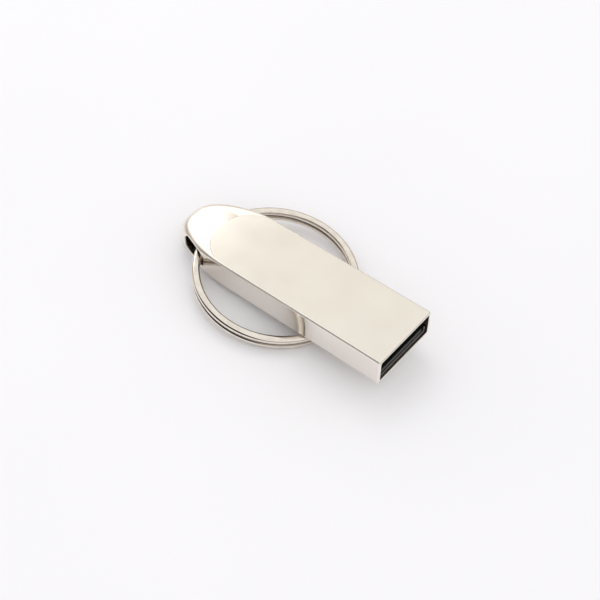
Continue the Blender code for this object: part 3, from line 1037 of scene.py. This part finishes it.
tray = add_piece("board_tray", tray_mesh(), black_plastic, scuffed_plastic)
cut_out(tray, tray_trough())
soften(tray, MOULD_EDGE)
for face in tray.data.polygons:
    if face.normal.x > 0.9 and face.center.x > TRAY_FRONT_X - MOULD_EDGE:
        face.material_index = 1
weigh_normals(tray, 40)
settle(tray, case_place, "drive", "black_plastic", "plastic_tray")

# %% [markdown]
# The circuit board is glass cloth in resin under a dark solder resist. The resist shows
# the copper traces below it as slightly raised, lighter lines. The traces here come from
# a stepped grid pattern in the material. The board's edge is cut laminate painted near
# black, as painted shade inside the mouth.

# %% Circuit board
BOARD_THICKNESS = 0.8 * MM
BOARD_FRONT_X = 19.4 * MM
SOLDER_GAP = 0.02 * MM
BOARD_LOW_Z = WALL + FIT_GAP + TRAY_FLOOR + SOLDER_GAP
BOARD_TOP_Z = BOARD_LOW_Z + BOARD_THICKNESS
PART_LOW_Z = BOARD_TOP_Z + SOLDER_GAP
BOARD_CORNER = 0.5 * MM
EDGE_SKIN = 0.12 * MM
TRACE_PITCH = 0.5 * MM
TRACE_COLOR = (0.012, 0.020, 0.015)


def solder_resist():
    resist = new_material("solder_resist", Roughness=0.3, Specular_IOR_Level=0.25)
    tree = resist.node_tree
    place = add_node(tree, "ShaderNodeTexCoord").outputs["Object"]
    axis = add_node(tree, "ShaderNodeSeparateXYZ", {0: place}).outputs
    wander = compute(tree, "MULTIPLY", noise_at(tree, 260.0, 0.0), 0.012)
    bend = compute(tree, "SNAP", wander, TRACE_PITCH)
    wave = compute(tree, "PINGPONG", compute(tree, "ADD", axis["Y"], bend), TRACE_PITCH)
    trace = spread(tree, wave, 1.0, 0.0, 0.12 * MM, 0.20 * MM)
    cloth = noise_at(tree, 5200.0, 2.0)
    base = tint(tree, cloth, (0.004, 0.006, 0.005), (0.007, 0.010, 0.008))
    feed(
        tree,
        Base_Color=mix_colors(tree, trace, base, TRACE_COLOR),
        Roughness=spread(tree, cloth, 0.24, 0.36),
    )
    bump(tree, trace, 0.012 * MM, 0.8)
    return resist


# Cut laminate darkened to near black: painted shade inside the mouth.
cut_laminate = worked_surface(
    "cut_laminate",
    ((0.022, 0.021, 0.017), (0.05, 0.047, 0.04)),
    gloss=(0.5, 0.7),
    relief=(0.01 * MM, 0.6),
    pattern=(9000.0, 2.0, (0.1, 0.1, 1)),
    Roughness=0.6,
)
board_half = TRAY_WIDTH / 2 - TRAY_RAIL - FIT_GAP
board_rear = TRAY_REAR_X + REAR_WALL + FIT_GAP
outline = rounded_rectangle((board_rear, -board_half), (BOARD_FRONT_X, board_half), BOARD_CORNER, 6)
levels = (BOARD_LOW_Z, BOARD_LOW_Z + EDGE_SKIN, BOARD_TOP_Z - EDGE_SKIN, BOARD_TOP_Z)
board = add_piece(
    "printed_board",
    loft("board", [[(x, y, z) for x, y in outline] for z in levels]),
    solder_resist(),
    cut_laminate,
)
for face in board.data.polygons:
    if abs(face.normal.z) < 0.5 and levels[1] < face.center.z < levels[2]:
        face.material_index = 1
settle(board, case_place, "drive", "board", "circuit_board")

# %% [markdown]
# The four contacts are stamped gold-flashed strips with rounded ends, a little domed. The
# outer two, power and ground, reach further forward so that they meet first. Insertion
# wears fine lines along them.

# %% Gold contacts
CONTACT_WIDTH = 1.0 * MM
CONTACT_THICKNESS = 0.05 * MM
CONTACT_CORNER = 0.3 * MM
CONTACT_DOME = ((1.0, 0.0), (0.45, 0.0), (0.15, 0.03 * MM), (0.0, 0.10 * MM))
CONTACT_REAR_X = 10.6 * MM
CONTACTS = {
    "contact_power": ("power_strip", -3.5 * MM, 18.4 * MM),
    "contact_data_minus": ("data_minus_strip", -1.0 * MM, 17.4 * MM),
    "contact_data_plus": ("data_plus_strip", 1.0 * MM, 17.4 * MM),
    "contact_ground": ("ground_strip", 3.5 * MM, 18.4 * MM),
}


gold = worked_surface(
    "gold_flash",
    ((0.80, 0.56, 0.22), (0.90, 0.68, 0.34)),
    gloss=(0.16, 0.34),
    relief=(0.002 * MM, 0.6),
    pattern=(21000.0, 3.0, (0.03, 1, 1)),
    cloud=(1500.0, 3.0),
    Metallic=1.0,
)
for node, (name, y, front_x) in CONTACTS.items():
    half = CONTACT_WIDTH / 2
    rows = []
    for drop, shrink in CONTACT_DOME:
        low = (CONTACT_REAR_X + shrink, y - half + shrink)
        high = (front_x - shrink, y + half - shrink)
        strip = rounded_rectangle(low, high, CONTACT_CORNER - shrink, 6)
        z = PART_LOW_Z + CONTACT_THICKNESS * (1 - drop)
        rows.append([(px, py, z) for px, py in strip])
    strip_piece = add_piece(name, loft(name, rows), gold)
    weigh_normals(strip_piece, 60)
    settle(strip_piece, case_place, "drive", "gold", node)

# %% [markdown]
# Chips are black resin blocks with drafted sides and tinned legs. The legs repeat, so a
# Geometry Nodes tree sets one bent leg at equal steps along each side: a swept profile for
# the leg, a line of points for its places, and a turned copy for the other side.

# %% Chips with their legs
LEG_REACH = 0.42 * MM
LEG_THICKNESS = 0.05 * MM
LEG_TUCK = 0.04 * MM
LEG_BEND_SHARE = 0.62
LEG_STEPS = 6
CHIP_CORNER = 0.12 * MM
DIMPLE_INSET = 0.7 * MM


def legs_tree(metal):
    """Two facing rows of bent legs along X, at +Y and -Y, for one chip."""
    tree, given, made = new_tree(
        "chip_legs",
        Legs=1,
        Pitch=1.0,
        Leg_Width=1.0,
        Reach=1.0,
        Half_Span=1.0,
        Drop=1.0,
        Metal=metal,
    )
    size = given.outputs
    steps = compute(tree, "SUBTRACT", size["Legs"], 1)
    row_length = compute(tree, "MULTIPLY", steps, size["Pitch"])
    places = {
        "Count": size["Legs"],
        "Start Location": combine(
            tree, compute(tree, "MULTIPLY", row_length, -0.5), size["Half Span"], 0.0
        ),
        "Offset": combine(tree, size["Pitch"], 0.0, 0.0),
    }
    row = add_node(tree, "GeometryNodeMeshLine", places).outputs["Mesh"]
    knee = compute(tree, "MULTIPLY", size["Reach"], LEG_BEND_SHARE)
    ankle = compute(tree, "MULTIPLY", size["Reach"], 1 - LEG_BEND_SHARE)
    down = compute(tree, "MULTIPLY", size["Drop"], -1.0)
    bend = {
        "Start": (0.0, 0.0, 0.0),
        "Start Handle": combine(tree, 0.0, knee, 0.0),
        "End Handle": combine(tree, 0.0, ankle, down),
        "End": combine(tree, 0.0, size["Reach"], down),
        "Resolution": LEG_STEPS,
    }
    path = add_node(tree, "GeometryNodeCurvePrimitiveBezierSegment", bend).outputs[0]
    strap = rectangle(tree, size["Leg Width"], LEG_THICKNESS)
    leg = sweep(tree, keep_upright(tree, path), strap)
    copies = add_node(tree, "GeometryNodeInstanceOnPoints", {"Points": row, "Instance": leg})
    turn = {"Geometry": copies.outputs[0], "Rotation": (0.0, 0.0, math.pi)}
    turned = add_node(tree, "GeometryNodeTransform", turn)
    both = add_node(tree, "GeometryNodeJoinGeometry", {0: turned.outputs[0]})
    tree.links.new(copies.outputs[0], both.inputs[0])
    deliver(tree, both.outputs[0], size["Metal"], made)
    return tree


resin = worked_surface(
    "black_resin_moulding",
    ((0.013, 0.013, 0.015), (0.024, 0.024, 0.026)),
    gloss=(0.42, 0.60),
    relief=(0.006 * MM, 0.6),
    pattern=(17000.0, 3.0),
    cloud=(500.0, 2.0),
    Roughness=0.5,
)
tin = worked_surface(
    "tinned_metal",
    ((0.62, 0.61, 0.58), (0.70, 0.69, 0.67)),
    gloss=(0.22, 0.42),
    relief=(0.003 * MM, 0.6),
    pattern=(8000.0, 3.0),
    Metallic=1.0,
)
chip_legs = legs_tree(tin)


def stand_on_board(piece, place, sharp_angle, slot, node):
    piece.data.transform(Matrix.Translation((place[0], place[1], PART_LOW_Z)))
    weigh_normals(piece, sharp_angle)
    settle(piece, case_place, "drive", slot, node)


def chip_body(name, size, height):
    """A drafted block with its middle at the origin and its foot at z = 0."""
    rows = []
    for share, draft in ((0.0, 0.07 * MM), (0.45, 0.0), (0.55, 0.0), (1.0, 0.09 * MM)):
        low = (-size[0] / 2 + draft, -size[1] / 2 + draft)
        high = (size[0] / 2 - draft, size[1] / 2 - draft)
        outline = rounded_rectangle(low, high, CHIP_CORNER, 3)
        rows.append([(x, y, share * height) for x, y in outline])
    return loft(name, rows)


def join_pieces(name, pieces):
    """One new piece from several, with all their materials."""
    graph = bmesh.new()
    materials = []
    for piece in pieces:
        before = len(graph.faces)
        graph.from_mesh(piece.data)
        graph.faces.ensure_lookup_table()
        slots = list(piece.data.materials)
        for face in graph.faces[before:]:
            material = slots[face.material_index]
            if material not in materials:
                materials.append(material)
            face.material_index = materials.index(material)
    mesh = bpy.data.meshes.new(name)
    graph.to_mesh(mesh)
    graph.free()
    for piece in pieces:
        bpy.data.objects.remove(piece)
    return add_piece(name, mesh, *materials)


def dimple_rows(size, height):
    """The round mark near the chip's first leg."""
    middle = (-size[0] / 2 + DIMPLE_INSET, -size[1] / 2 + DIMPLE_INSET)
    rows = []
    for z, radius in ((height - 0.05 * MM, 0.26 * MM), (height + 0.2 * MM, 0.32 * MM)):
        ring = arc(middle, radius, 0.0, 2 * math.pi, 20)[:-1]
        rows.append([(x, y, z) for x, y in ring])
    return rows


def add_chip(name, node, place, size, height, legs, sides, pitch=0.4 * MM):
    """A chip with one or two pairs of leg rows, standing on the board."""
    body_size = [size[0] - 2 * LEG_REACH * (sides > 1), size[1] - 2 * LEG_REACH]
    body = add_piece(name + "_body", chip_body(name, body_size, height), resin)
    cut_out(body, loft(name + "_dimple", dimple_rows(body_size, height)))
    parts = [body]
    for side in range(sides):
        rows = add_piece(f"{name}_legs_{side}", bpy.data.meshes.new(name))
        grow(
            rows,
            chip_legs,
            Legs=legs,
            Pitch=pitch,
            Leg_Width=pitch * 0.45,
            Reach=LEG_REACH,
            Half_Span=body_size[1 - side] / 2 - LEG_TUCK,
            Drop=0.42 * height,
            Metal=tin,
        )
        rows.data.transform(Matrix.Translation((0, 0, 0.5 * height - 0.01 * MM)))
        if side:
            rows.data.transform(Matrix.Rotation(math.pi / 2, 4, "Z"))
        parts.append(rows)
    stand_on_board(join_pieces(name, parts), place, 35, "black_resin", node)


memory_size = (8.6 * MM, 9.4 * MM)
controller_size = (4.6 * MM, 4.6 * MM)
add_chip("memory_package", "flash_chip", (-4.4 * MM, 0.0), memory_size, 1.0 * MM, 20, 1)
add_chip(
    "controller_package", "controller_chip", (3.4 * MM, 0.0), controller_size, 0.85 * MM, 8, 2
)

# %% [markdown]
# The crystal sits in a drawn metal can with a narrow flange. The small parts are ceramic
# or glazed blocks between two tinned ends, so one function lofts a block with its ends
# wrapped a little proud of it, and it's used for all nine.

# %% Crystal, capacitors and resistors
CAN_PLACE = (3.2 * MM, 3.9 * MM)
CAN_HALF = (1.25, 1.0)
CAN_CORNER = 0.45
CAN_STEPS = ((0.0, 0.0), (0.08, 0.0), (0.10, 0.12), (0.50, 0.14), (0.57, 0.18), (0.60, 0.26))
CAP_STATIONS = (0.0, 0.02, 0.24, 0.25, 0.75, 0.76, 0.98, 1.0)
CAP_INSETS = (0.08, 0.0, 0.0, 0.05, 0.05, 0.0, 0.0, 0.08)
CAP_START = 0.245
BLOCK_CORNER = 0.06 * MM

drawn_can = worked_surface(
    "drawn_can",
    ((0.66, 0.65, 0.62), (0.78, 0.77, 0.74)),
    gloss=(0.20, 0.36),
    relief=(0.002 * MM, 0.6),
    pattern=(14000.0, 3.0, (0.05, 1, 1)),
    Metallic=1.0,
)
can_rows = []
for z, draft in CAN_STEPS:
    low = ((-CAN_HALF[0] + draft) * MM, (-CAN_HALF[1] + draft) * MM)
    high = ((CAN_HALF[0] - draft) * MM, (CAN_HALF[1] - draft) * MM)
    outline = rounded_rectangle(low, high, (CAN_CORNER - draft) * MM, 8)
    can_rows.append([(x, y, z * MM) for x, y in outline])
can = add_piece("crystal_can", loft("crystal_can", can_rows), drawn_can)
stand_on_board(can, CAN_PLACE, 35, "crystal_can", "crystal")


def add_chip_part(name, node, place, size, body, slot):
    """A block along its longer side with a tinned cap wrapped over each end."""
    along = 0 if size[0] > size[1] else 1
    length, width, height = size[along], size[1 - along], size[2]
    rows = []
    for share, inward in zip(CAP_STATIONS, CAP_INSETS):
        shrink = inward * width
        low = (-width / 2 + shrink, shrink)
        high = (width / 2 - shrink, height - shrink)
        section = rounded_rectangle(low, high, BLOCK_CORNER, 3)
        rows.append([((share - 0.5) * length, y, z) for y, z in section])
    piece = add_piece(name, loft(name, rows), body, tin)
    for face in piece.data.polygons:
        if abs(face.center.x) > CAP_START * length:
            face.material_index = 1
    if along:
        piece.data.transform(Matrix.Rotation(math.pi / 2, 4, "Z"))
    stand_on_board(piece, place, 50, slot, node)


def fired_ceramic(name, dark, light, gloss):
    """Fired ceramic or glaze: a speckled body with a slightly uneven gloss."""
    return worked_surface(
        name, (dark, light), gloss, (0.005 * MM, 0.6), (12000.0, 4.0), Roughness=0.5
    )


ceramic = fired_ceramic("fired_ceramic", (0.30, 0.19, 0.11), (0.44, 0.29, 0.18), (0.42, 0.62))
glaze = fired_ceramic(
    "black_glaze", (0.010, 0.010, 0.011), (0.022, 0.022, 0.024), (0.24, 0.40)
)
capacitor_size = (0.8 * MM, 1.6 * MM, 0.8 * MM)
resistor_size = (1.0 * MM, 0.5 * MM, 0.35 * MM)
for i in range(5):
    name, node = f"ceramic_block_{i + 1}", f"capacitor_{i + 1}"
    place = (7.6 * MM, (i - 2) * 1.9 * MM)
    add_chip_part(name, node, place, capacitor_size, ceramic, "capacitor_ceramic")
for i in range(4):
    name, node = f"resistor_block_{i + 1}", f"resistor_{i + 1}"
    place = ((1.6 + 1.25 * i) * MM, -3.9 * MM)
    add_chip_part(name, node, place, resistor_size, glaze, "resistor_black")
